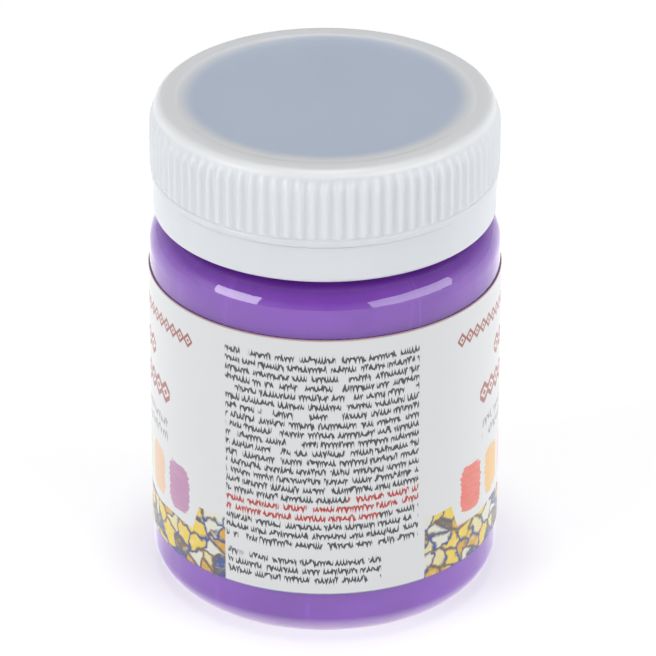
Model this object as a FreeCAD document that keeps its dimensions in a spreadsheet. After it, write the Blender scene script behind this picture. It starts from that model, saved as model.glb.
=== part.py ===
"""Small screw-top jar of acrylic paint: clear jar, paint fill, paper label, ribbed cap, liner and seal band.

Frame: millimetres, +Z up, origin on the jar's axis where it stands. The front of the jar faces -Y.
Every length sits in the Sizes sheet, and each sub-part's sketches are bound to its cells.
"""
import FreeCAD
import Part
import Sketcher
import math
import os

TURN = 360.0

# Driving sizes, in millimetres unless the name says degrees, turns or count.
SIZES = {
    # jar body
    "body_radius": 20.35,
    "shoulder_start": 42.7,
    "shoulder_rise": 3.35,
    "shoulder_width": 2.55,
    "wall": 1.15,
    "base_thickness": 1.2,
    "foot_rounding": 3.6,
    "foot_ring_width": 3.25,
    "pushup_depth": 0.8,
    "shoulder_rounding": 3.5,
    # jar neck, as tall as the cap and the band need
    "neck_wall": 1.8,
    "rim_rounding": 0.5,
    "bead_reach": 0.7,
    "bead_width": 1.0,
    "bead_below_thread": 2.7,
    # screw thread shared by neck and cap
    "thread_pitch": 3.0,
    "thread_turns": 1.25,
    "thread_depth": 0.75,
    "thread_root_width": 1.3,
    "thread_crest_width": 0.6,
    "thread_root_sink": 0.25,
    "thread_below_rim": 5.15,
    "thread_clearance": 0.1,
    "cap_clearance": 0.2,
    # paint fill
    "paint_clearance": 0.03,
    "paint_below_rim": 7.85,
    # label
    "label_thickness": 0.13,
    "label_clearance": 0.02,
    "label_bottom": 6.54,
    "label_top_gap": 2.84,
    "label_gap_degrees": 7.0,
    # screw cap
    "cap_skirt_wall": 1.1,
    "cap_panel_thickness": 0.75,
    "cap_ring_width": 1.35,
    "cap_panel_depth": 0.4,
    "cap_panel_slope": 3.0,
    "cap_skirt_below_rim": 7.05,
    "cap_collar_height": 0.85,
    "cap_collar_reach": 0.15,
    "cap_collar_rounding": 0.12,
    "cap_shoulder_inset": 0.35,
    "cap_shoulder_drop": 2.7,
    "cap_shoulder_rounding": 0.75,
    "rib_radius": 0.4,
    "rib_reach": 0.3,
    "rib_lean_inset": 0.2,
    "rib_lean_drop": 1.7,
    "rib_fade_inset": 0.72,
    "rib_fade_drop": 0.95,
    "rib_count": 88,
    # liner disc, held up in the cap by a small inner ring
    "liner_thickness": 0.9,
    "liner_edge_gap": 0.25,
    "liner_clearance": 0.05,
    "liner_ring_width": 0.5,
    # tamper band
    "band_height": 4.45,
    "band_gap": 0.1,
    "band_shoulder_gap": 0.7,
    "band_inset": 0.05,
    "band_lip_rounding": 0.5,
    "band_edge_rounding": 0.08,
    "band_snap_width": 1.2,
    "band_snap_gap": 0.15,
    "band_snap_clearance": 0.25,
    "band_snap_slope": 0.5,
    "nib_width": 0.9,
    "nib_wall": 0.5,
    "nib_inset": 0.35,
    "nib_gap": 0.04,
    "nib_count": 12,
}


class Size:
    """A number together with the sheet expression that it comes from."""

    def __init__(self, value, text=None):
        self.value = value
        self.text = str(value) if text is None else text

    def joined(self, sign, other, value):
        return Size(value, f"({self.text} {sign} {other.text})")

    def __add__(self, other):
        return self.joined("+", other, self.value + other.value)

    def __sub__(self, other):
        return self.joined("-", other, self.value - other.value)

    def __truediv__(self, number):
        return self.joined("/", Size(number), self.value / number)


def make_sheet(document):
    """The spreadsheet of driving sizes; returns each of them as a Size under its alias."""
    sheet = document.addObject("Spreadsheet::Sheet", "Sizes")
    for row, (name, value) in enumerate(SIZES.items(), start=1):
        sheet.set(f"A{row}", name)
        sheet.set(f"B{row}", str(value))
        sheet.setAlias(f"B{row}", name)
    document.recompute()
    return {name: Size(float(value), f"Sizes.{name}") for name, value in SIZES.items()}


def new_body(document, name):
    body = document.addObject("PartDesign::Body", name)
    body.Label = name
    return body


def plane_sketch(body, name, plane):
    """A sketch on one of the body's own origin planes: XZ_Plane for outlines, XY_Plane for sections."""
    sketch = body.newObject("Sketcher::SketchObject", name)
    origin_plane = next(item for item in body.Origin.OriginFeatures if item.Role == plane)
    sketch.AttachmentSupport = [(origin_plane, "")]
    sketch.MapMode = "FlatFace"
    return sketch


def drive(sketch, constraint, name, size):
    """Adds one constraint and binds its value to the sheet."""
    index = sketch.addConstraint(constraint)
    sketch.renameConstraint(index, name)
    sketch.setExpression(f"Constraints.{name}", size.text)


def arc_between(start, end, radius, bulge):
    """The arc of that radius from start to end; bulge is +1 where it turns left, -1 where it turns right."""
    chord = end - start
    middle = (start + end) / 2
    rise = math.sqrt(radius ** 2 - (chord.Length / 2) ** 2)
    across = FreeCAD.Vector(-chord.y, chord.x, 0)
    across.normalize()
    centre = middle + across * (rise * bulge)
    angles = [math.atan2(point.y - centre.y, point.x - centre.x) for point in (start, end)]
    circle = Part.Circle(centre, FreeCAD.Vector(0, 0, 1), radius)
    if bulge > 0:
        return Part.ArcOfCircle(circle, angles[0], angles[1])
    return Part.ArcOfCircle(circle, angles[1], angles[0])


def closed_outline(sketch, corners):
    """Draws a closed outline. Each corner is (across, up) or (across, up, radius, bulge).

    The second form says that the edge which leaves the corner is an arc.
    """
    points = [FreeCAD.Vector(corner[0].value, corner[1].value, 0) for corner in corners]
    ends = []
    for number, corner in enumerate(corners):
        start = points[number]
        end = points[(number + 1) % len(points)]
        if len(corner) == 2:
            edge = sketch.addGeometry(Part.LineSegment(start, end))
            ends.append((edge, 1, 2))
        else:
            radius, bulge = corner[2], corner[3]
            edge = sketch.addGeometry(arc_between(start, end, radius.value, bulge))
            ends.append((edge, 1, 2) if bulge > 0 else (edge, 2, 1))
    for number, corner in enumerate(corners):
        edge, first, last = ends[number]
        following, next_first, _ = ends[(number + 1) % len(ends)]
        sketch.addConstraint(Sketcher.Constraint("Coincident", edge, last, following, next_first))
        if corner[0].value == 0:
            sketch.addConstraint(Sketcher.Constraint("PointOnObject", edge, first, -2))
        else:
            across = Sketcher.Constraint("DistanceX", edge, first, corner[0].value)
            drive(sketch, across, f"across_{number}", corner[0])
        if corner[1].value == 0:
            sketch.addConstraint(Sketcher.Constraint("PointOnObject", edge, first, -1))
        else:
            up = Sketcher.Constraint("DistanceY", edge, first, corner[1].value)
            drive(sketch, up, f"up_{number}", corner[1])
        if len(corner) > 2:
            radius = Sketcher.Constraint("Radius", edge, corner[2].value)
            drive(sketch, radius, f"radius_{number}", corner[2])


def revolve(body, name, corners, angle=TURN, kind="Revolution"):
    """Turns an outline about the jar's axis, as added material or, with kind Groove, as a cut."""
    sketch = plane_sketch(body, f"{name}_outline", "XZ_Plane")
    closed_outline(sketch, corners)
    feature = body.newObject(f"PartDesign::{kind}", name)
    feature.Profile = sketch
    feature.ReferenceAxis = (sketch, ["V_Axis"])
    feature.Angle = angle
    body.Tip = feature
    return feature


def add_thread(body, name, root, crest, middle, sizes):
    """One helical ridge, its section a trapezium from the root radius out or in to the crest radius."""
    half_root = sizes["thread_root_width"] / 2
    half_crest = sizes["thread_crest_width"] / 2
    corners = [
        (root, middle - half_root),
        (crest, middle - half_crest),
        (crest, middle + half_crest),
        (root, middle + half_root),
    ]
    sketch = plane_sketch(body, f"{name}_section", "XZ_Plane")
    closed_outline(sketch, corners)
    helix = body.newObject("PartDesign::AdditiveHelix", name)
    helix.Profile = sketch
    helix.ReferenceAxis = (sketch, ["V_Axis"])
    helix.Mode = "pitch-turns-angle"
    helix.setExpression("Pitch", sizes["thread_pitch"].text)
    helix.setExpression("Turns", sizes["thread_turns"].text)
    helix.LeftHanded = False
    helix.Reversed = False
    body.Tip = helix
    return helix


def repeat_around(body, name, features, sketch, count):
    pattern = body.newObject("PartDesign::PolarPattern", name)
    pattern.Originals = features
    pattern.Axis = (sketch, ["N_Axis"])
    pattern.Angle = TURN
    pattern.setExpression("Occurrences", count.text)
    body.Tip = pattern
    return pattern


def shared_levels(sizes):
    """Heights and radii that two or more sub-parts have in common."""
    levels = {}
    levels["shoulder_height"] = sizes["shoulder_start"] + sizes["shoulder_rise"]
    levels["band_bottom"] = levels["shoulder_height"] + sizes["band_shoulder_gap"]
    levels["band_top"] = levels["band_bottom"] + sizes["band_height"]
    levels["cap_bottom"] = levels["band_top"] + sizes["band_gap"]
    levels["rim"] = levels["cap_bottom"] + sizes["cap_skirt_below_rim"]
    levels["neck_radius"] = sizes["body_radius"] - sizes["shoulder_width"]
    levels["bore"] = levels["neck_radius"] - sizes["neck_wall"]
    levels["inner_radius"] = sizes["body_radius"] - sizes["wall"]
    levels["pushup"] = sizes["body_radius"] - sizes["foot_rounding"] - sizes["foot_ring_width"]
    levels["raised"] = levels["pushup"] - sizes["pushup_depth"]
    levels["raised_floor"] = sizes["pushup_depth"] + sizes["base_thickness"]
    levels["inner_shoulder"] = sizes["shoulder_rounding"] - sizes["wall"]
    levels["bore_bottom"] = sizes["shoulder_start"] + levels["inner_radius"] - levels["bore"]
    levels["inner_foot"] = sizes["foot_rounding"] - sizes["wall"]
    levels["thread_middle"] = levels["rim"] - sizes["thread_below_rim"]
    levels["neck_crest"] = levels["neck_radius"] + sizes["thread_depth"]
    levels["cap_bore"] = levels["neck_crest"] + sizes["cap_clearance"]
    levels["cap_crest"] = levels["neck_radius"] + sizes["cap_clearance"]
    levels["skirt_radius"] = levels["cap_bore"] + sizes["cap_skirt_wall"]
    levels["liner_bottom"] = levels["rim"] + sizes["liner_clearance"]
    levels["liner_top"] = levels["liner_bottom"] + sizes["liner_thickness"]
    levels["cap_underside"] = levels["liner_top"] + sizes["liner_clearance"]
    levels["panel_top"] = levels["cap_underside"] + sizes["cap_panel_thickness"]
    levels["cap_top"] = levels["panel_top"] + sizes["cap_panel_depth"]
    levels["collar_top"] = levels["cap_bottom"] + sizes["cap_collar_height"]
    levels["bead_top"] = levels["thread_middle"] - sizes["bead_below_thread"]
    levels["bead_bottom"] = levels["bead_top"] - sizes["bead_width"]
    levels["bead_radius"] = levels["neck_radius"] + sizes["bead_reach"]
    return levels


def make_jar(document, sizes, levels):
    """Clear jar: round foot, pushed-up base, straight wall, rounded shoulder and threaded neck."""
    body = new_body(document, "jar")
    nothing = Size(0.0)
    foot = sizes["foot_rounding"]
    inner_foot = levels["inner_foot"]
    shoulder = sizes["shoulder_rounding"]
    inner_shoulder = levels["inner_shoulder"]
    rim_round = sizes["rim_rounding"]
    half_bead = sizes["bead_width"] / 2
    neck = levels["neck_radius"]
    corners = [
        (nothing, levels["raised_floor"]),
        (nothing, sizes["pushup_depth"]),
        (levels["raised"], sizes["pushup_depth"]),
        (levels["pushup"], nothing),
        (sizes["body_radius"] - foot, nothing, foot, 1),
        (sizes["body_radius"], foot),
        (sizes["body_radius"], sizes["shoulder_start"], shoulder, 1),
        (neck, levels["shoulder_height"]),
        (neck, levels["bead_bottom"]),
        (levels["bead_radius"], levels["bead_bottom"]),
        (levels["bead_radius"], levels["bead_bottom"] + half_bead),
        (neck, levels["bead_top"]),
        (neck, levels["rim"] - rim_round, rim_round, 1),
        (neck - rim_round, levels["rim"]),
        (levels["bore"], levels["rim"]),
        (levels["bore"], levels["bore_bottom"]),
        (levels["inner_radius"] - inner_shoulder, sizes["shoulder_start"] + inner_shoulder, inner_shoulder, -1),
        (levels["inner_radius"], sizes["shoulder_start"]),
        (levels["inner_radius"], sizes["base_thickness"] + inner_foot, inner_foot, -1),
        (levels["inner_radius"] - inner_foot, sizes["base_thickness"]),
        (levels["pushup"], sizes["base_thickness"]),
        (levels["raised"], levels["raised_floor"]),
    ]
    revolve(body, "jar_shell", corners)
    sunk_root = neck - sizes["thread_root_sink"]
    add_thread(body, "neck_thread", sunk_root, levels["neck_crest"], levels["thread_middle"], sizes)
    return body


def make_paint(document, sizes, levels):
    """The paint inside the jar, up to just below the neck's thread."""
    body = new_body(document, "paint")
    nothing = Size(0.0)
    film = sizes["paint_clearance"]
    inner_foot = levels["inner_foot"]
    inner_shoulder = levels["inner_shoulder"]
    radius = levels["inner_radius"] - film
    bottom = sizes["base_thickness"] + film
    start = sizes["shoulder_start"] - film
    surface = levels["rim"] - sizes["paint_below_rim"]
    corners = [
        (nothing, levels["raised_floor"] + film),
        (levels["raised"], levels["raised_floor"] + film),
        (levels["pushup"], bottom),
        (radius - inner_foot, bottom, inner_foot, 1),
        (radius, bottom + inner_foot),
        (radius, start, inner_shoulder, 1),
        (radius - inner_shoulder, start + inner_shoulder),
        (levels["bore"] - film, levels["bore_bottom"] - film),
        (levels["bore"] - film, surface),
        (nothing, surface),
    ]
    revolve(body, "paint_fill", corners)
    return body


def make_label(document, sizes):
    """Paper wrap around the straight wall; its two ends stop short of each other at the back."""
    body = new_body(document, "label")
    inner = sizes["body_radius"] + sizes["label_clearance"]
    outer = inner + sizes["label_thickness"]
    bottom = sizes["label_bottom"]
    top = sizes["shoulder_start"] - sizes["label_top_gap"]
    corners = [(inner, bottom), (outer, bottom), (outer, top), (inner, top)]
    wrap = revolve(body, "label_wrap", corners)
    wrap.setExpression("Angle", f"{TURN} - {sizes['label_gap_degrees'].text}")
    body.Placement.Rotation = FreeCAD.Rotation(FreeCAD.Vector(0, 0, 1), TURN / 4)
    half_gap = sizes["label_gap_degrees"] / 2
    body.setExpression("Placement.Rotation.Angle", f"{TURN / 4} + {half_gap.text}")
    return body


def make_cap(document, sizes, levels):
    """White screw cap: sunk top panel, ribbed skirt, smooth collar, inner thread and liner ring."""
    body = new_body(document, "screw_cap")
    nothing = Size(0.0)
    skirt = levels["skirt_radius"]
    collar = skirt + sizes["cap_collar_reach"]
    soft = sizes["cap_collar_rounding"]
    shoulder = skirt - sizes["cap_shoulder_inset"]
    shoulder_round = sizes["cap_shoulder_rounding"]
    ring_radius = levels["cap_crest"]
    ring_top = levels["liner_bottom"] - sizes["liner_clearance"]
    ring_bottom = ring_top - sizes["liner_ring_width"]
    ring_reach = levels["cap_bore"] - ring_radius
    panel = shoulder - shoulder_round - sizes["cap_ring_width"] - sizes["cap_panel_slope"]
    corners = [
        (nothing, levels["cap_underside"]),
        (levels["cap_bore"], levels["cap_underside"]),
        (levels["cap_bore"], ring_top),
        (ring_radius, ring_top),
        (ring_radius, ring_bottom),
        (levels["cap_bore"], ring_bottom - ring_reach),
        (levels["cap_bore"], levels["cap_bottom"]),
        (collar - soft, levels["cap_bottom"], soft, 1),
        (collar, levels["cap_bottom"] + soft),
        (collar, levels["collar_top"] - soft, soft, 1),
        (collar - soft, levels["collar_top"]),
        (skirt, levels["collar_top"]),
        (skirt, levels["cap_top"] - sizes["cap_shoulder_drop"]),
        (shoulder, levels["cap_top"] - shoulder_round, shoulder_round, 1),
        (shoulder - shoulder_round, levels["cap_top"]),
        (panel + sizes["cap_panel_slope"], levels["cap_top"]),
        (panel, levels["panel_top"]),
        (nothing, levels["panel_top"]),
    ]
    revolve(body, "cap_shell", corners)
    middle = levels["thread_middle"] - sizes["thread_clearance"]
    middle = middle - (sizes["thread_root_width"] + sizes["thread_crest_width"]) / 2
    sunk_root = levels["cap_bore"] + sizes["thread_root_sink"]
    add_thread(body, "cap_thread", sunk_root, levels["cap_crest"], middle, sizes)
    add_ribs(body, sizes, levels)
    return body


def rib_circle(body, name, height, centre, radius):
    """One round section of the rib at the front of the cap, its centre on the -Y side."""
    sketch = plane_sketch(body, name, "XY_Plane")
    sketch.setExpression("AttachmentOffset.Base.z", height.text)
    middle = FreeCAD.Vector(0, -centre.value, 0)
    edge = sketch.addGeometry(Part.Circle(middle, FreeCAD.Vector(0, 0, 1), radius.value))
    sketch.addConstraint(Sketcher.Constraint("PointOnObject", edge, 3, -2))
    drive(sketch, Sketcher.Constraint("DistanceY", edge, 3, -1, 1, centre.value), "centre", centre)
    drive(sketch, Sketcher.Constraint("Radius", edge, radius.value), "radius", radius)
    return sketch


def add_ribs(body, sizes, levels):
    """Half-round upright ribs all round the skirt, from the collar up, leaning in to fade at the shoulder."""
    radius = sizes["rib_radius"]
    centre = levels["skirt_radius"] + sizes["rib_reach"] - radius
    foot = levels["collar_top"] - sizes["cap_collar_rounding"]
    bend = levels["cap_top"] - sizes["cap_shoulder_drop"]
    section = rib_circle(body, "rib_section", foot, centre, radius)
    rib = body.newObject("PartDesign::Pad", "rib")
    rib.Profile = section
    rib.setExpression("Length", (bend - foot).text)
    body.Tip = rib
    lean_drop = levels["cap_top"] - sizes["rib_lean_drop"]
    fade_drop = levels["cap_top"] - sizes["rib_fade_drop"]
    top = body.newObject("PartDesign::AdditiveLoft", "rib_top")
    top.Profile = rib_circle(body, "rib_top_start", bend, centre, radius)
    top.Sections = [
        rib_circle(body, "rib_top_middle", lean_drop, centre - sizes["rib_lean_inset"], radius),
        rib_circle(body, "rib_top_end", fade_drop, centre - sizes["rib_fade_inset"], radius),
    ]
    body.Tip = top
    repeat_around(body, "ribs", [rib, top], section, sizes["rib_count"])


def make_liner(document, sizes, levels):
    """Sealing disc between the neck's rim and the underside of the cap."""
    body = new_body(document, "cap_liner")
    nothing = Size(0.0)
    radius = levels["cap_bore"] - sizes["liner_edge_gap"]
    bottom, top = levels["liner_bottom"], levels["liner_top"]
    corners = [(nothing, bottom), (radius, bottom), (radius, top), (nothing, top)]
    revolve(body, "liner_disc", corners)
    return body


def make_band(document, sizes, levels):
    """Tamper band below the cap: its inner snap ring sits under the neck's bead, with broken nibs on top."""
    body = new_body(document, "tamper_band")
    nothing = Size(0.0)
    outer = levels["skirt_radius"] - sizes["band_inset"]
    bore = levels["cap_bore"]
    snap_radius = levels["neck_radius"] + sizes["band_snap_clearance"]
    snap_top = levels["bead_bottom"] - sizes["band_snap_gap"]
    snap_bottom = snap_top - sizes["band_snap_width"]
    lip = sizes["band_lip_rounding"]
    edge = sizes["band_edge_rounding"]
    corners = [
        (bore, levels["band_bottom"]),
        (outer - lip, levels["band_bottom"], lip, 1),
        (outer, levels["band_bottom"] + lip),
        (outer, levels["band_top"] - edge, edge, 1),
        (outer - edge, levels["band_top"]),
        (bore, levels["band_top"]),
        (bore, snap_top),
        (snap_radius, snap_top),
        (snap_radius, snap_bottom + sizes["band_snap_slope"]),
        (bore, snap_bottom),
    ]
    revolve(body, "band_ring", corners)
    section = plane_sketch(body, "nib_section", "XY_Plane")
    section.setExpression("AttachmentOffset.Base.z", (levels["band_top"] - edge).text)
    nib_outer = outer - sizes["nib_inset"]
    nib_inner = nib_outer - sizes["nib_wall"]
    width = sizes["nib_width"]
    closed_outline(section, [(nib_inner, nothing), (nib_outer, nothing), (nib_outer, width), (nib_inner, width)])
    nib = body.newObject("PartDesign::Pad", "nib")
    nib.Profile = section
    nib.setExpression("Length", (sizes["band_gap"] - sizes["nib_gap"] + edge).text)
    body.Tip = nib
    repeat_around(body, "nibs", [nib], section, sizes["nib_count"])
    return body


def check_document(document, parts):
    """Stops on any failed object and on any sub-part whose shape is missing or broken."""
    for item in document.Objects:
        if "Invalid" in item.State or "Error" in item.State:
            raise RuntimeError(f"{item.Label} failed: {item.State}")
    for part in parts:
        if part.Shape.isNull() or not part.Shape.isValid():
            raise RuntimeError(f"{part.Label} has no sound shape")


def export_parts(parts):
    os.makedirs("parts", exist_ok=True)
    for part in parts:
        part.Shape.exportStep(os.path.join("parts", f"{part.Label}.step"))
        box = part.Shape.BoundBox
        volume = part.Shape.Volume
        print(f"{part.Label}: {len(part.Shape.Solids)} solid, {volume:.1f} mm3, z {box.ZMin:.2f} to {box.ZMax:.2f}")


def build():
    document = FreeCAD.newDocument("paint_jar")
    sizes = make_sheet(document)
    levels = shared_levels(sizes)
    parts = [
        make_jar(document, sizes, levels),
        make_paint(document, sizes, levels),
        make_label(document, sizes),
        make_liner(document, sizes, levels),
        make_cap(document, sizes, levels),
        make_band(document, sizes, levels),
    ]
    document.recompute()
    check_document(document, parts)
    export_parts(parts)


build()
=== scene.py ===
"""A small screw-top jar of violet acrylic paint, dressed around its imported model."""
import math

import bmesh
import bpy
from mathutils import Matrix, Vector


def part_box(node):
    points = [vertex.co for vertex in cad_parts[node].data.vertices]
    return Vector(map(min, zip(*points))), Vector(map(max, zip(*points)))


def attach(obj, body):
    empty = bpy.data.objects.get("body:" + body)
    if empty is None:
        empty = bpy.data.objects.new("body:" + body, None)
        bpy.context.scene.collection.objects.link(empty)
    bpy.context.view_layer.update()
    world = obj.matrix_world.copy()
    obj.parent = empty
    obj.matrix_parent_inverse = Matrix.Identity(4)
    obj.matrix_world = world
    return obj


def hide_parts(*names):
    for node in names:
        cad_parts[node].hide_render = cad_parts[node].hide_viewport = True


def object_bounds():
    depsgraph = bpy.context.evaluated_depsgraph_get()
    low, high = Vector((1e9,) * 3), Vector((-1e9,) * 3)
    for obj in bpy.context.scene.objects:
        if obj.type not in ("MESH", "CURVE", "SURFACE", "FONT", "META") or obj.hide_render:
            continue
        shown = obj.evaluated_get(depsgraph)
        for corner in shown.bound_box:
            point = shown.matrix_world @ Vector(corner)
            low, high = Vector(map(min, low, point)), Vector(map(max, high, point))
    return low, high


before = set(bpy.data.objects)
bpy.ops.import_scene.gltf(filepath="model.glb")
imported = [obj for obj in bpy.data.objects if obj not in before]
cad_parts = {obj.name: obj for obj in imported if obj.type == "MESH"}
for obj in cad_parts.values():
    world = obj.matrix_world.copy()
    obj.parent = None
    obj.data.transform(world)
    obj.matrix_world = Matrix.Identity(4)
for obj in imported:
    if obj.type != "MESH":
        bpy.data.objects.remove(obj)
cad_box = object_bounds()
MM = 0.001


# ---- The clear jar ----
# A blow-moulded jar of clear plastic: rounded foot, straight wall, rounded shoulder, threaded neck.
# Its wall bends the light, so the paint behind it reaches right out to the edge of the jar.

class Field:
    """A node's output that takes part in Python expressions; each operation adds a Math node."""

    def __init__(self, finish, socket):
        self.finish = finish
        self.socket = socket

    def maths(self, operation, *terms):
        return self.finish.node("ShaderNodeMath", {"operation": operation}, dict(enumerate(terms)))

    def __add__(self, other):
        return self.maths("ADD", self, other)

    __radd__ = __add__

    def __sub__(self, other):
        return self.maths("SUBTRACT", self, other)

    def __rsub__(self, other):
        return self.maths("SUBTRACT", other, self)

    def __mul__(self, other):
        return self.maths("MULTIPLY", self, other)

    __rmul__ = __mul__

    def __truediv__(self, other):
        return self.maths("DIVIDE", self, other)

    def floor(self):
        return self.maths("FLOOR", self)

    def fraction(self):
        return self.maths("FRACT", self)

    def size(self):
        return self.maths("ABSOLUTE", self)

    def sine(self):
        return self.maths("SINE", self)

    def root(self):
        return self.maths("SQRT", self)

    def most(self, other):
        return self.maths("MAXIMUM", self, other)

    def rise(self, low, high):
        """0 below low, 1 above high and a straight ramp between them."""
        settings = {"interpolation_type": "LINEAR", "clamp": True}
        return self.finish.node("ShaderNodeMapRange", settings, {0: self, 1: low, 2: high, 3: 0.0, 4: 1.0})

    def within(self, low, high, edge):
        """1 between low and high, with soft sides of that width."""
        return self.rise(low - edge, low + edge) * (1 - self.rise(high - edge, high + edge))

    def eased(self):
        """A ramp from 0 to 1 with its two corners rounded off."""
        return self * self * (3 - self * 2)


class Finish:
    """A material, or the world, and the ways of adding nodes to it."""

    def __init__(self, name, world=None):
        self.owner = world or bpy.data.materials.new(name)
        self.owner.use_nodes = True
        self.tree = self.owner.node_tree
        self.tree.nodes.clear()

    def node(self, kind, settings=None, sockets=None, output=0):
        """Adds a node: its settings first, then the values or links of its sockets."""
        node = self.tree.nodes.new(kind)
        for name, value in (settings or {}).items():
            if name == "stops":
                self.set_stops(node.color_ramp, value)
            else:
                setattr(node, name, value)
        for name, value in (sockets or {}).items():
            if isinstance(value, Field):
                self.tree.links.new(value.socket, node.inputs[name])
            else:
                node.inputs[name].default_value = value
        return Field(self, node.outputs[output])

    @staticmethod
    def set_stops(ramp, stops):
        """Flat steps of colour, each from its place to the next one."""
        ramp.interpolation = "CONSTANT"
        while len(ramp.elements) < len(stops):
            ramp.elements.new(0.5)
        for element, (place, colour) in zip(ramp.elements, stops):
            element.position = place
            element.color = (*colour, 1.0)

    def place(self):
        """Across, back and up in millimetres, as the piece lies in the jar's own frame."""
        coordinates = self.node("ShaderNodeTexCoord", output="Object")
        parts = [self.node("ShaderNodeSeparateXYZ", {}, {0: coordinates}, axis) for axis in range(3)]
        return [part * (1 / MM) for part in parts]

    def reach(self, across, back):
        """The distance from the jar's axis."""
        return (across * across + back * back).root()

    def turn(self, across, back):
        """The angle round the jar in radians, 0 at the front and positive to the right."""
        return across.maths("ARCTAN2", across, 0 - back)

    def point(self, across, back, up):
        return self.node("ShaderNodeCombineXYZ", {}, {0: across, 1: back, 2: up})

    def noise(self, where, scale, detail):
        """Soft random numbers round 0.5; scale is lumps to the millimetre."""
        return self.node("ShaderNodeTexNoise", {}, {"Vector": where, "Scale": scale, "Detail": detail})

    def blend(self, mask, first, second):
        """A colour that goes from first to second as mask goes from 0 to 1.

        A Mix node takes its two colours in sockets 6 and 7, and gives the blended one at output 2.
        """
        sockets = {0: mask}
        for index, colour in ((6, first), (7, second)):
            sockets[index] = colour if isinstance(colour, Field) else (*colour, 1.0)
        return self.node("ShaderNodeMix", {"data_type": "RGBA"}, sockets, 2)

    def bump(self, height, depth):
        """A normal from a height of 0 to 1 that stands for a relief of that depth in millimetres."""
        return self.node("ShaderNodeBump", {}, {"Strength": 1.0, "Distance": depth * MM, "Height": height})

    def surface(self, **sockets):
        """The main shader, with its sockets named as keywords, underlines for spaces."""
        named = {name.replace("_", " "): value for name, value in sockets.items()}
        for name, value in named.items():
            if isinstance(value, tuple) and len(value) == 3 and "Color" in name:
                named[name] = (*value, 1.0)
        return self.node("ShaderNodeBsdfPrincipled", {}, named)

    def show(self, shader, output="ShaderNodeOutputMaterial"):
        """Ends the nodes in this shader and gives back their material or world."""
        end = self.tree.nodes.new(output)
        self.tree.links.new(shader.socket, end.inputs["Surface"])
        return self.owner


def coat_node(name, material):
    """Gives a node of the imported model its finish."""
    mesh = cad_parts[name].data
    mesh.materials.clear()
    mesh.materials.append(material)


def seen_by(finish, *rays):
    """1 on any of these kinds of ray."""
    kinds = [finish.node("ShaderNodeLightPath", output=f"Is {ray} Ray") for ray in rays]
    seen = kinds[0]
    for kind in kinds[1:]:
        seen = seen.most(kind)
    return seen


def clear_plastic():
    """Clear to the camera, while the light that falls on the paint passes straight through it."""
    finish = Finish("clear_jar_plastic")
    across, back, up = finish.place()
    ripple = finish.noise(finish.point(across, back, up * 0.6), scale=0.19, detail=1.0)
    flow_lines = finish.noise(finish.point(across, back, up * 0.05), scale=0.55, detail=1.0)
    scuffs = finish.noise(finish.point(across * 6, back * 6, up), scale=0.16, detail=2.0)
    shell = finish.surface(
        Base_Color=(0.985, 0.985, 0.995),
        Roughness=0.018 + scuffs * 0.03,
        IOR=1.64,
        Transmission_Weight=1.0,
        Normal=finish.bump(ripple + flow_lines * 0.12, depth=0.14),
    )
    see_through = finish.node("ShaderNodeBsdfTransparent")
    light_ray = seen_by(finish, "Shadow", "Diffuse", "Glossy")
    return finish.show(finish.node("ShaderNodeMixShader", {}, {0: light_ray, 1: shell, 2: see_through}))


coat_node("jar", clear_plastic())


# ---- The paint ----
# A full jar of violet acrylic, wet against the wall and up into the neck.
# Its top is a glossy skin that has settled, a little higher where it clings to the neck.

def arc(centre_radius, centre_height, radius, start, end, steps):
    """Points of a round corner in the (radius, height) outline, by its angles in degrees."""
    points = []
    for step in range(steps + 1):
        angle = math.radians(start + (end - start) * step / steps)
        points.append((centre_radius + radius * math.cos(angle), centre_height + radius * math.sin(angle)))
    return points


def turned(name, outline, around, shape):
    """A mesh turned about the jar's axis from an outline in millimetres that starts and ends on the axis.

    Shape moves each point, by its radius, height and angle round the axis.
    """
    mesh = bmesh.new()
    rings = []
    for radius, height in outline:
        if radius < 1e-6:
            rings.append([mesh.verts.new((0, 0, height * MM))])
            continue
        ring = []
        for number in range(around):
            angle = math.tau * number / around
            reach, up = shape(radius, height, angle)
            ring.append(mesh.verts.new(Vector((reach * math.cos(angle), reach * math.sin(angle), up)) * MM))
        rings.append(ring)
    for lower, upper in zip(rings, rings[1:]):
        for number in range(around):
            following = (number + 1) % around
            corners = [lower[number % len(lower)], lower[following % len(lower)]]
            corners += [upper[following % len(upper)], upper[number % len(upper)]]
            mesh.faces.new(list(dict.fromkeys(corners)))
    for face in mesh.faces:
        face.smooth = True
    data = bpy.data.meshes.new(name)
    mesh.to_mesh(data)
    mesh.free()
    piece = bpy.data.objects.new(name, data)
    bpy.context.scene.collection.objects.link(piece)
    return piece


VIOLET = (0.182, 0.029, 0.424)


def tinted(colour, share, lift=0.0):
    """The colour at this share of its strength, with a little white added."""
    return tuple(channel * share + lift for channel in colour)


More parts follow.
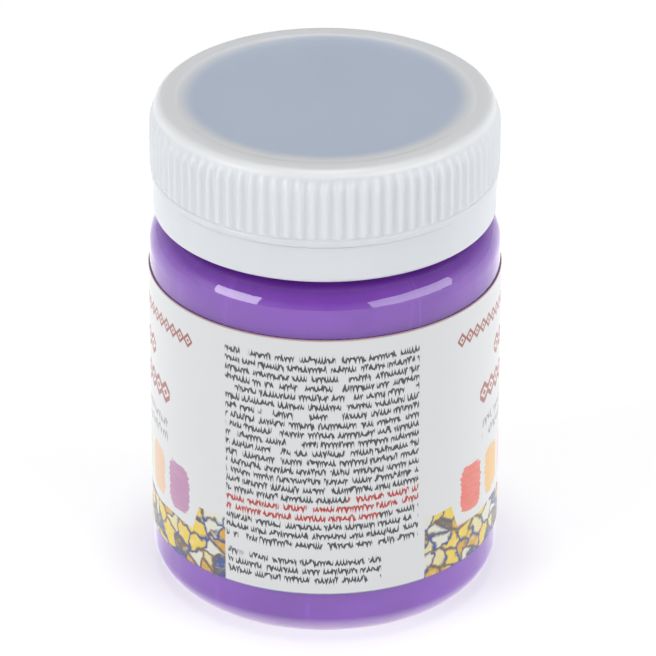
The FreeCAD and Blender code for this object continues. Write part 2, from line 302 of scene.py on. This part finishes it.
def wet_paint():
    """Violet in slow clouds with faint upright streaks, a painted shadow under the cap and a painted
    reflection of the pale floor at the foot.
    """
    finish = Finish("violet_paint_wet")
    across, back, up = finish.place()
    where = finish.point(across, back, up * 1.6)
    cloud = finish.noise(where, scale=0.09, detail=2.0)
    upright = finish.point(finish.turn(across, back) * 9, 0.5, up * 0.04)
    streaks = finish.noise(upright, scale=1.0, detail=2.0).within(0.64, 0.68, 0.015)
    swirl = finish.noise(finish.point(across, back, up * 3), scale=0.5, detail=3.0)
    relief = finish.noise(where, scale=0.35, detail=2.0)
    band_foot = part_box("tamper_band")[0].z / MM
    # Painted shadow: a mask that rises towards the lower edge of the seal band, where the cap shades the
    # shoulder.
    painted_cap_shadow = up.rise(band_foot - 2.55, band_foot - 0.35)
    # Painted reflection: a mask over the bottom few millimetres, where the rounded foot shows the bright
    # floor.
    painted_foot_reflection = 1 - up.rise(1.4, 2.8)
    colour = finish.blend(cloud.rise(0.3, 0.7) + streaks, tinted(VIOLET, 0.88), tinted(VIOLET, 1.1, 0.012))
    # Painted shadow: up to 60 per cent of the way to a darker violet just under the cap.
    colour = finish.blend(painted_cap_shadow * 0.6, colour, tinted(VIOLET, 0.6))
    # Painted reflection: blends to pale lavender at the foot, broken up a little by the swirl noise.
    colour = finish.blend(painted_foot_reflection * (0.65 + swirl * 0.35), colour, (0.78, 0.60, 0.90))
    shader = finish.surface(
        Base_Color=colour,
        Roughness=0.22 + swirl * 0.16,
        IOR=1.25,
        Normal=finish.bump(relief, depth=0.05),
    )
    return finish.show(shader)


def paint_fill():
    """The paint reaches a little into the jar's wall, so that no film of air shows between them."""
    low, high = (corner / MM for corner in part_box("paint"))
    into_wall = 0.2
    radius = high.x + into_wall
    bottom, top = low.z - into_wall, high.z
    foot_rounding = 2.45 + into_wall
    foot_ring = 3.25
    push_up = radius - foot_rounding - foot_ring
    push_up_rise, push_up_slope = 0.8, 0.9
    shoulder_rounding = 2.35 + into_wall
    label_to_shoulder = 2.84
    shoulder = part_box("label")[1].z / MM + label_to_shoulder
    liner_past_bore = 2.5
    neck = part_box("cap_liner")[1].x / MM - liner_past_bore + into_wall
    level = top - 0.45
    clinging_edge = ((0, 0), (0.35, 0.22), (0.8, 0.36), (1.4, 0.42))

    outline = [(0, bottom + push_up_rise), (push_up - push_up_slope, bottom + push_up_rise)]
    outline += [(push_up, bottom)]
    outline += arc(radius - foot_rounding, bottom + foot_rounding, foot_rounding, -90, 0, 12)
    outline += arc(radius - shoulder_rounding, shoulder, shoulder_rounding, 0, 90, 12)
    outline += [(neck, shoulder + shoulder_rounding + 0.8)]
    outline += [(neck - inward, top - drop) for inward, drop in clinging_edge]
    outline += [(neck * (0.85 - 0.1 * step), level) for step in range(9)] + [(0, level)]

    def settled(reach, up, angle):
        """Slow swirls left on the top by the filling nozzle."""
        if up == level:
            up += 0.14 * math.sin(2 * angle + reach * 0.55) * math.sin(reach * math.pi / neck)
        return reach, up

    piece = turned("violet_paint_fill", outline, 160, settled)
    piece.data.materials.append(wet_paint())
    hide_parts("paint")
    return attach(piece, "jar_body")


paint_fill()


# ---- The label ----
# Coated paper wrapped round the straight wall; its two ends stop short of each other at the back.
# The print says nothing: rows of scribble and lozenges, brush dabs and a band of irregular mosaic.

PAPER = (0.70, 0.705, 0.71)
INK = (0.03, 0.03, 0.038)
GREY_INK = (0.16, 0.16, 0.17)
RED_INK = (0.40, 0.022, 0.014)
BROWN_INK = (0.30, 0.04, 0.02)
PANEL_CENTRE = 36.6
TEXT_LEFT, TEXT_RIGHT = -12.05, 11.3
TEXT_FIRST_ROW, TEXT_PITCH, TEXT_ROWS = 37.25, 1.212, 21


class Sheet:
    """Places on the label in millimetres: round the wall from the front, from a side panel, and up."""

    def __init__(self, finish):
        across, back, self.up = finish.place()
        self.finish = finish
        self.low, self.high = (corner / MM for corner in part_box("label"))
        self.round_wall = finish.turn(across, back) * self.high.x
        self.from_front = self.round_wall.size()
        self.from_panel = (self.from_front - PANEL_CENTRE).size()


def scribble(sheet, first, pitch, count, left, right, tall, weight, beat, seed):
    """Rows of scribble: chains of small arches, beat radians to the millimetre, broken into uneven words."""
    rows = (first - sheet.up) / pitch + 0.5
    row = rows.floor()
    height = (0.5 - rows.fraction()) * pitch
    along = sheet.round_wall * (beat / 17)

    def wander(stretch, shift=0.0):
        """Soft random numbers along each row."""
        where = sheet.finish.point(along * stretch, row * 7.3 + (seed + shift), 0.5)
        return sheet.finish.noise(where, scale=1.0, detail=0.0)

    phase = sheet.round_wall * beat + wander(1.3) * 11 + row * 2.1
    swing = 0.5 * tall * (0.45 + wander(3.4, 9.7))
    loop = wander(2.6, 3.1).rise(0.55, 0.62)
    arch = (phase * 0.5).sine().size()
    way_up = wander(1.9, 14.2).rise(0.495, 0.505) * 2 - 1
    lift = (arch * 2 - 1) * swing * way_up + (phase * 0.25).sine().most(0) * loop * tall * 0.5
    steepness = ((1 - arch * arch) * swing * swing * (beat * beat) + 1).root()
    off_line = (height - lift).size() / steepness
    stroke = 1 - off_line.rise(weight * 0.4, weight * 0.8)
    words = (along * 0.31 + row * 0.37 + wander(0.5, 5.9) * 1.2).fraction()
    gap = (words - 0.5).size().rise(0.41, 0.44)
    ends = sheet.round_wall.within(left, right, 0.04)
    return stroke * rows.within(0, count, 0.001) * ends * (1 - gap)


def front_text(sheet, colour):
    """A block of black rows with a red passage in it, and three short rows of small print under it."""
    text = scribble(sheet, TEXT_FIRST_ROW, TEXT_PITCH, TEXT_ROWS, TEXT_LEFT, TEXT_RIGHT,
                    tall=0.47, weight=0.17, beat=15.0, seed=0.0)
    row = ((TEXT_FIRST_ROW - sheet.up) / TEXT_PITCH + 0.5).floor()

    def only(number):
        return 1 - (row - number).size().rise(0.4, 0.5)

    red = only(16).most(only(15) * sheet.round_wall.rise(2.5, 2.6))
    red = red.most(only(17) * (1 - sheet.round_wall.rise(6.3, 6.4)))
    colour = sheet.finish.blend(text, colour, sheet.finish.blend(red, INK, RED_INK))
    small_print = scribble(sheet, first=10.7, pitch=1.17, count=3, left=TEXT_LEFT + 0.2, right=6.6,
                           tall=0.47, weight=0.165, beat=15.0, seed=40.0)
    return sheet.finish.blend(small_print, colour, INK)


def lozenge_row(sheet, middle, tall, half_width, pitch):
    """A row of small lozenges, each with a dot in it, centred on both side panels."""
    step = ((sheet.from_panel / pitch).fraction() - 0.5).size() / (pitch * 0.40)
    slope = step + (sheet.up - middle).size() / (tall * 0.5)
    lozenges = slope.within(0.52, 0.98, 0.04).most(1 - slope.rise(0.22, 0.28))
    return lozenges * (1 - sheet.from_panel.rise(half_width, half_width + 0.05))


def panel_headings(sheet, colour):
    """Three brown rows of lozenges, and two grey rows of scribble under them."""
    headings = lozenge_row(sheet, middle=36.0, tall=2.0, half_width=19.5, pitch=1.5)
    headings = headings.most(lozenge_row(sheet, middle=31.3, tall=2.9, half_width=10.5, pitch=2.1))
    headings = headings.most(lozenge_row(sheet, middle=26.9, tall=3.0, half_width=14.7, pitch=2.1))
    colour = sheet.finish.blend(headings * 0.92, colour, BROWN_INK)
    notes = scribble(sheet, first=22.9, pitch=1.7, count=2, left=-64, right=64,
                     tall=0.85, weight=0.17, beat=9.0, seed=90.0)
    notes *= 1 - sheet.from_panel.rise(14.0, 14.1)
    return sheet.finish.blend(notes * 0.8, colour, GREY_INK)


def brush_dabs(sheet, colour):
    """A row of rounded dabs in soft colours, with ragged ends, across each side panel."""
    pitch, middle, half_width, half_height = 5.5, 15.7, 2.3, 3.3
    number = (sheet.from_panel / pitch + 0.5).floor()
    bristle = sheet.finish.noise(
        sheet.finish.point(sheet.round_wall * 0.6, sheet.up * 2.6, 1.5), scale=1.0, detail=3.0)
    wide = ((sheet.from_panel - number * pitch) / half_width).size()
    tall = ((sheet.up - middle) / half_height).size()
    outline = (wide * wide * wide * wide + tall * tall * tall * tall).root()
    dab = 1 - (outline + (bristle - 0.5) * 0.9).rise(0.8, 0.9)
    dab *= 1 - sheet.from_panel.rise(3.5 * pitch, 3.5 * pitch + 0.05)
    pick = (number * 2 + sheet.round_wall.rise(-0.1, 0.1) + 0.5) / 8
    dab_colour = sheet.finish.node("ShaderNodeValToRGB", {"stops": [
        (0.0, (0.40, 0.33, 0.62)), (0.125, (0.38, 0.58, 0.66)), (0.25, (0.52, 0.66, 0.34)),
        (0.375, (0.76, 0.46, 0.44)), (0.5, (0.76, 0.50, 0.31)), (0.625, (0.80, 0.48, 0.15)),
        (0.75, (0.47, 0.22, 0.39)), (0.875, (0.74, 0.155, 0.11)),
    ]}, {0: pick})
    return sheet.finish.blend(dab * (0.82 + bristle * 0.3), colour, dab_colour)


def mosaic_band(sheet, colour):
    """Irregular tiles in yellows, cream and blue with dark joints, along the foot of both side panels."""
    finish = sheet.finish
    warp = finish.noise(finish.point(sheet.round_wall, sheet.up, 2.5), scale=0.5, detail=2.0)
    glaze = finish.noise(finish.point(sheet.round_wall, sheet.up, 4.5), scale=1.1, detail=3.0)
    where = finish.point(sheet.round_wall + warp * 3.4, sheet.up * 1.15 - warp * 2.6, 0)
    flat = {"voronoi_dimensions": "2D"}
    tiles = {"Vector": where, "Scale": 0.42}
    cell = finish.node("ShaderNodeTexVoronoi", {"feature": "F1", **flat}, tiles, "Color")
    edge = finish.node("ShaderNodeTexVoronoi", {"feature": "DISTANCE_TO_EDGE", **flat}, tiles)
    pick = finish.node("ShaderNodeSeparateColor", {}, {0: cell})
    tile_colour = finish.node("ShaderNodeValToRGB", {"stops": [
        (0.0, (0.03, 0.07, 0.24)), (0.12, (0.14, 0.09, 0.05)), (0.22, (0.60, 0.33, 0.03)),
        (0.42, (0.78, 0.57, 0.06)), (0.66, (0.72, 0.64, 0.33)), (0.82, (0.70, 0.70, 0.62)),
    ]}, {0: pick})
    tile_colour = finish.blend(glaze.rise(0.5, 0.72) * 0.6, tile_colour, (0.80, 0.70, 0.34))
    joint = finish.blend(warp.rise(0.42, 0.58), (0.02, 0.05, 0.22), (0.12, 0.08, 0.05))
    tile_colour = finish.blend((edge + (glaze - 0.5) * 0.12).rise(0.03, 0.17), joint, tile_colour)
    step_up = (1 - sheet.from_front.rise(16.3, 17.4)) * 3.2
    crest = 11.5 + step_up + (sheet.round_wall * 0.8).sine() * 0.12
    mosaic = (1 - (sheet.up - crest).rise(-0.08, 0.08)) * sheet.from_front.rise(12.2, 12.3)
    return finish.blend(mosaic, colour, tile_colour)


def cut_edges(sheet, colour):
    """Ink and shade along the cut edges: brown at the top, dark blue at the bottom."""
    upper = sheet.up.rise(sheet.high.z - 0.24, sheet.high.z - 0.1)
    lower = 1 - sheet.up.rise(sheet.low.z + 0.05, sheet.low.z + 0.18)
    colour = sheet.finish.blend(upper * 0.75, colour, (0.35, 0.16, 0.13))
    return sheet.finish.blend(lower * 0.75, colour, (0.08, 0.08, 0.24))


def printed_paper():
    finish = Finish("printed_label_paper")
    sheet = Sheet(finish)
    colour = PAPER
    for layer in (front_text, panel_headings, brush_dabs, mosaic_band, cut_edges):
        colour = layer(sheet, colour)
    fibre = finish.noise(finish.point(sheet.round_wall, sheet.up, 0.5), scale=2.4, detail=4.0)
    cockle = finish.noise(finish.point(sheet.round_wall * 0.6, sheet.up, 8.5), scale=0.12, detail=1.0)
    shader = finish.surface(
        Base_Color=colour,
        Roughness=0.34 + fibre * 0.12,
        Coat_Weight=0.25,
        Coat_Roughness=0.25,
        Normal=finish.bump(fibre * 0.1 + cockle, depth=0.12),
    )
    return finish.show(shader)


coat_node("label", printed_paper())


# ---- The seal band ----
# The lower ring of the closure, moulded with the cap and torn from it along a row of small nibs.
# It stays on the neck, held under the bead by its inner ring.

def white_plastic():
    """Milky plastic: cool white where it is thick, with painted shade in blue-grey on the thin crown, where
    the dark inside would show through.
    """
    finish = Finish("white_closure_plastic")
    across, back, up = finish.place()
    where = finish.point(across, back, up)
    grain = finish.noise(where, scale=6.0, detail=3.0)
    soft = finish.noise(where, scale=0.5, detail=2.0)
    flow = finish.noise(finish.point(across, back, up * 0.5), scale=0.07, detail=2.0)
    skirt = finish.blend(flow.rise(0.3, 0.7), (0.71, 0.735, 0.76), (0.745, 0.765, 0.785))
    # Painted shade: the crown's blue-grey stands in for the dark inside showing through the thin top.
    crown = finish.blend(flow.rise(0.35, 0.65), (0.51, 0.58, 0.705), (0.53, 0.60, 0.715))
    thick_rim = (0.81, 0.815, 0.825)
    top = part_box("screw_cap")[1].z / MM
    # The edge of the painted shade is centred 0.7 mm towards the back, and made ragged by the flow noise.
    off_centre = 0.7
    rim = (finish.reach(across, back - off_centre) + (flow - 0.5) * 0.8).rise(14.8, 17.2).eased()
    on_top = up.rise(top - 1.1, top - 0.4)
    on_crown = on_top * (1 - rim)
    colour = finish.blend(on_top, skirt, finish.blend(rim, crown, thick_rim))
    dust = grain.rise(0.6, 0.72) * on_crown
    colour = finish.blend(dust * 0.15, colour, (0.75, 0.78, 0.82))
    shader = finish.surface(
        Base_Color=colour,
        Roughness=0.32 + soft * 0.1 + on_crown * 0.1,
        IOR=1.5,
        Subsurface_Weight=0.6,
        Subsurface_Radius=(1.0, 0.95, 0.9),
        Subsurface_Scale=0.0016,
        Normal=finish.bump(grain * 0.25 + soft, depth=0.03),
    )
    return finish.show(shader)


closure_white = white_plastic()
coat_node("tamper_band", closure_white)


# ---- The liner ----
# A disc cut from white polyethylene foam, which seals on the neck's rim.
# It is pressed up into the cap past a small ring, and rises with the cap without turning.

def liner_foam():
    """Fine foam cells, pressed smooth in a ring where the neck's rim bears on it."""
    finish = Finish("liner_foam")
    across, back, up = finish.place()
    cells = finish.node("ShaderNodeTexVoronoi", {}, {"Vector": finish.point(across, back, up), "Scale": 3.2})
    ring_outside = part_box("cap_liner")[1].x / MM - 0.7
    ring_width = 1.8
    pressed = finish.reach(across, back).within(ring_outside - ring_width, ring_outside, 0.1)
    shader = finish.surface(
        Base_Color=finish.blend(cells.rise(0.0, 0.5), (0.70, 0.71, 0.72), (0.78, 0.79, 0.80)),
        Roughness=0.62 - pressed * 0.2,
        Normal=finish.bump(cells * (1 - pressed * 0.7), depth=0.06),
    )
    return finish.show(shader)


coat_node("cap_liner", liner_foam())


# ---- The screw cap ----
# One moulding of white plastic with a sunk top, upright ribs for grip and a smooth collar below them.
# It screws on the neck by an inner thread, one and a quarter turns long.

RIBS = 88
RIB_REACH = 0.3
THREAD_PITCH, THREAD_TURNS, THREAD_REACH = 3.0, 1.25, 0.75
cap_low, cap_high = (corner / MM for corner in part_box("screw_cap"))
liner_low, liner_high = (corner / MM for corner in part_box("cap_liner"))
groove = cap_high.x - RIB_REACH
collar_top = cap_low.z + 0.85
bore = liner_high.x + 0.25
thread_start = liner_low.z - 6.25
bore_top, bore_bottom = liner_low.z - 1.4, cap_low.z + 0.1


def smooth_step(value, low, high):
    """0 below low, 1 above high, and an easy curve between them."""
    share = min(max((value - low) / (high - low), 0.0), 1.0)
    return share * share * (3 - 2 * share)


def cap_inside():
    """From the middle of the crown's underside, over the ring that holds the liner, and down the bore."""
    under_crown = liner_high.z + 0.05
    corner = 0.15
    hold = 0.75
    outline = [(radius, under_crown) for radius in (0, 6, 12, bore - corner)]
    outline += [(bore, under_crown - corner), (bore, liner_low.z + 0.02), (bore - 0.7, liner_low.z - 0.05)]
    outline += [(bore - hold, liner_low.z - 0.1), (bore - hold, liner_low.z - 0.5)]
    outline += [(bore, liner_low.z - 1.25)]
    steps = 36
    outline += [(bore, bore_top + (bore_bottom - bore_top) * step / steps) for step in range(steps + 1)]
    return outline


def cap_skirt():
    """Round the lower edge, up the smooth collar, and up the grooves, which lean in at the top."""
    collar = groove + 0.15
    edge = 0.12
    lean_start, lean_height, lean_in, steps = cap_high.z - 2.3, 1.3, 0.29, 4
    outline = [(bore + 0.08, cap_low.z)]
    outline += arc(collar - edge, cap_low.z + edge, edge, -90, 0, 4)
    outline += [(collar, collar_top - edge), (collar - 0.04, collar_top - 0.04), (collar - 0.1, collar_top)]
    outline += [(groove, collar_top + rise) for rise in (0.06, 0.16, 0.3, 0.6, 1.5, 3.0, 4.5, 5.6)]
    for step in range(steps + 1):
        outline.append((groove - 0.03 - lean_in * step / steps, lean_start + lean_height * step / steps))
    return outline


def cap_top():
    """Over the rolled rim, and down the long slope inside it to the sunk crown."""
    top = cap_high.z
    crown = top - 0.4
    rounding = 0.98
    edge_centre = groove - 1.3
    rim_inside = groove - 2.6
    slope_width, slope_top, steps = 3.4, top - 0.085, 8
    outline = arc(edge_centre, top - rounding, rounding, 5, 90, 8)
    outline += [(edge_centre - 0.5, top), (rim_inside + 0.2, top), (rim_inside, top - 0.01)]
    outline += [(rim_inside - 0.12, top - 0.05)]
    for step in range(steps):
        share = step / (steps - 1)
        drop = (slope_top - crown) * smooth_step(share, -0.35, 1.0)
        outline.append((rim_inside - 0.25 - slope_width * share, slope_top - drop))
    return outline + [(radius, crown) for radius in (11, 7, 3, 0)]


def gripped(reach, up, angle):
    """Stands the ribs out from the skirt, and the thread in from the bore."""
    if reach >= groove - 0.5 and up > collar_top + 0.1:
        wave = 0.5 + 0.5 * math.cos(RIBS * (angle + math.pi / 2))
        fade = smooth_step(up, collar_top + 0.1, collar_top + 0.32)
        fade *= 1 - smooth_step(up, cap_high.z - 2.1, cap_high.z - 0.75)
        reach += RIB_REACH * wave ** 1.3 * fade
    elif reach == bore and bore_bottom <= up <= bore_top:
        run_out = 0.06
        for turn in (0, 1):
            along = (angle + math.tau) % math.tau / math.tau + turn
            offset = abs(up - thread_start - along * THREAD_PITCH)
            ends = smooth_step(along, 0.0, run_out)
            ends *= 1 - smooth_step(along, THREAD_TURNS - run_out, THREAD_TURNS)
            reach -= THREAD_REACH * ends * (1 - smooth_step(offset, 0.3, 0.65))
    return reach, up


def moulded_cap():
    piece = turned("ribbed_screw_cap", cap_inside() + cap_skirt() + cap_top(), RIBS * 10, gripped)
    piece.data.materials.append(closure_white)
    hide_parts("screw_cap")
    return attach(piece, "lid")


moulded_cap()


# ---- Stage, lights and camera ----
# A pale table, two wide soft boxes to the sides, a small one above, and a pale room.
# The camera looks down a little on the front of the jar.

def pale_floor():
    """Matt and pale, with a glow that only the camera, reflections and the clear plastic see."""
    bpy.ops.mesh.primitive_grid_add(size=6.0, x_subdivisions=8, y_subdivisions=8)
    floor = bpy.context.object
    floor.name = "studio_floor"
    finish = Finish("studio_floor_white")
    matt = finish.node("ShaderNodeBsdfDiffuse", {}, {"Color": (0.86, 0.86, 0.87, 1.0)})
    glow = seen_by(finish, "Camera") * 0.42 + seen_by(finish, "Glossy", "Transmission") * 0.9
    light = finish.node("ShaderNodeEmission", {}, {"Color": (1, 1, 1, 1), "Strength": glow})
    floor.data.materials.append(finish.show(finish.node("ShaderNodeAddShader", {}, {0: matt, 1: light})))


def pale_room():
    """White where it is seen, brightest low at the sides in reflections, and a low light on the object."""
    finish = Finish("studio_room", bpy.data.worlds.new("studio_room"))
    direction = finish.node("ShaderNodeTexCoord", output="Generated")
    height = finish.node("ShaderNodeSeparateXYZ", {}, {0: direction}, "Z")
    ceiling = 1 - height.rise(0.1, 0.45) * 0.55
    shown = seen_by(finish, "Camera", "Transmission")
    mirrored = seen_by(finish, "Glossy")
    sideways = finish.node("ShaderNodeSeparateXYZ", {}, {0: direction}, "X").size()
    ambient = 0.12 + sideways * 0.42
    strength = shown.most(mirrored * ceiling * (0.78 + sideways * 0.45)).most(ambient)
    shader = finish.node("ShaderNodeBackground", {}, {"Color": (0.97, 0.985, 1.0, 1.0), "Strength": strength})
    bpy.context.scene.world = finish.show(shader, "ShaderNodeOutputWorld")


def soft_box(name, azimuth, elevation, distance, width, height, radiance):
    """A rectangular lamp that faces the jar; azimuth 0 is the front, and positive turns to the right."""
    lamp = bpy.data.lights.new(name, "AREA")
    lamp.shape = "RECTANGLE"
    lamp.size = width
    lamp.size_y = height
    lamp.energy = radiance * math.pi * width * height
    holder = bpy.data.objects.new(name, lamp)
    turn, lift = math.radians(azimuth), math.radians(elevation)
    direction = Vector((math.sin(turn) * math.cos(lift), -math.cos(turn) * math.cos(lift), math.sin(lift)))
    centre = Vector((0, 0, cad_box[1][2] / 2))
    holder.location = centre + direction * distance
    holder.rotation_euler = direction.to_track_quat("Z", "Y").to_euler()
    bpy.context.scene.collection.objects.link(holder)


def add_camera():
    elevation = math.radians(28.13)
    distance = 0.585
    looks_at = Vector((0, 0, 0.03053))
    lens = bpy.data.cameras.new("camera")
    lens.lens = 274.4
    lens.sensor_width = 36.0
    lens.shift_x = 0.0046
    camera = bpy.data.objects.new("camera", lens)
    camera.location = looks_at + Vector((0, -math.cos(elevation), math.sin(elevation))) * distance
    camera.rotation_euler = (math.pi / 2 - elevation, 0, 0)
    bpy.context.scene.collection.objects.link(camera)
    bpy.context.scene.camera = camera


pale_floor()
pale_room()
soft_box("left_soft_box", azimuth=-57, elevation=13.5, distance=0.9, width=0.5, height=0.42, radiance=5.7)
soft_box("right_soft_box", azimuth=58, elevation=13.5, distance=0.9, width=1.0, height=0.42, radiance=3.2)
soft_box("overhead_soft_box", azimuth=0, elevation=89, distance=0.8, width=0.2, height=0.2, radiance=14.0)
add_camera()
bpy.context.scene.view_settings.view_transform = "Standard"
